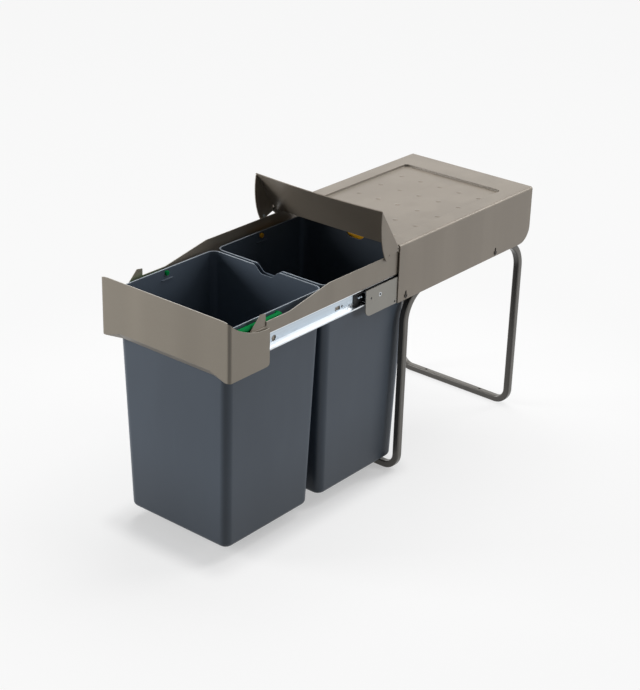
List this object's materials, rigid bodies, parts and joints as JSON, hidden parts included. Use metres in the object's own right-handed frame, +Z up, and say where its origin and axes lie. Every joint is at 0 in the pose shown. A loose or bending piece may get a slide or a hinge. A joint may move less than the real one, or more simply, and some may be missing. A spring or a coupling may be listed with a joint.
{
  "type": "pull out trash cabinet",
  "caption": "Floor-standing pull-out waste-bin unit: a folded sheet cover on bent tube legs, a carriage on ball slides holding tapered bins with bail handles, and a lid flap that shuts with it.",
  "frame": {"origin": "on the floor, under the middle of the unit with its carriage pulled right out", "axes": "+Y from the front panel to the back of the cover, +Z up, +X to the right seen from the front"},
  "size_m": [0.2644, 0.7754, 0.49],
  "materials": {
    "paint": "satin metallic powder coat, taupe",
    "stand_paint": "satin metallic powder coat, darker taupe",
    "screw": "satin, coloured to match",
    "zinc": "bright zinc plate",
    "cage": "smooth black",
    "bin": "fine satin, slate grey",
    "green": "semi-gloss green",
    "yellow": "semi-gloss yellow"
  },
  "bodies": {
    "housing": {"front_hoop": "stand_paint", "rear_hoop": "stand_paint", "cover": "paint", "slide_bracket_right": "paint", "slide_bracket_left": "paint", "rear_bracket_right": "paint", "rear_bracket_left": "paint", "hinge_ear_right": "paint", "hinge_ear_left": "paint", "slide_runner_right": "zinc", "slide_runner_left": "zinc", "skirt_screw_front_right": "screw", "skirt_screw_front_left": "screw", "skirt_screw_rear_right": "screw", "skirt_screw_rear_left": "screw", "runner_screw_front_right": "zinc", "runner_screw_front_left": "zinc", "runner_screw_rear_right": "zinc", "runner_screw_rear_left": "zinc", "hinge_pin_right": "zinc", "hinge_pin_left": "zinc"},
    "right_cage": {"ball_cage_right": "cage"},
    "left_cage": {"ball_cage_left": "cage"},
    "carriage": {"front_panel": "paint", "side_rail_right": "paint", "side_rail_left": "paint", "slide_channel_right": "zinc", "slide_channel_left": "zinc", "panel_bracket_right": "paint", "panel_bracket_left": "paint", "rear_cross_plate": "paint", "divider_strap": "paint", "rail_rivet_front_right": "zinc", "rail_rivet_front_left": "zinc", "rail_rivet_rear_right": "zinc", "rail_rivet_rear_left": "zinc"},
    "flap_lid": {"flap": "paint", "flap_follower_right": "zinc", "flap_follower_left": "zinc"},
    "front_bucket": {"front_bin": "bin"},
    "rear_bucket": {"rear_bin": "bin"},
    "front_bail": {"green_handle": "green"},
    "rear_bail": {"yellow_handle": "yellow"}
  },
  "joints": [
    {"name": "carriage_slide", "type": "slide", "parent": "housing", "child": "carriage", "axis": [0, 1, 0], "range_m": [0, 0.306]},
    {"name": "right_cage_slide", "type": "slide", "parent": "housing", "child": "right_cage", "axis": [0, 1, 0], "range_m": [0, 0.153]},
    {"name": "left_cage_slide", "type": "slide", "parent": "housing", "child": "left_cage", "axis": [0, 1, 0], "range_m": [0, 0.153]},
    {"name": "flap_hinge", "type": "hinge", "parent": "housing", "child": "flap_lid", "pos_m": [0, 0.00315, 0.417], "axis": [1, 0, 0], "range_deg": [0, 57]},
    {"name": "front_bin_lift", "type": "slide", "parent": "carriage", "child": "front_bucket", "axis": [0, 0, -1], "range_m": [-0.38, 0]},
    {"name": "rear_bin_lift", "type": "slide", "parent": "carriage", "child": "rear_bucket", "axis": [0, 0, -1], "range_m": [-0.018, 0]},
    {"name": "green_handle_hinge", "type": "hinge", "parent": "front_bucket", "child": "front_bail", "pos_m": [0, -0.26635, 0.388], "axis": [1, 0, 0], "range_deg": [-95, 0]},
    {"name": "yellow_handle_hinge", "type": "hinge", "parent": "rear_bucket", "child": "rear_bail", "pos_m": [0, -0.04575, 0.388], "axis": [1, 0, 0], "range_deg": [0, 12]}
  ],
  "couplings": [
    {"joint": "right_cage_slide", "follows": "carriage_slide", "ratio": 0.5},
    {"joint": "left_cage_slide", "follows": "carriage_slide", "ratio": 0.5},
    {"joint": "flap_hinge", "follows": "carriage_slide", "rad_per_m": 3.25}
  ]
}
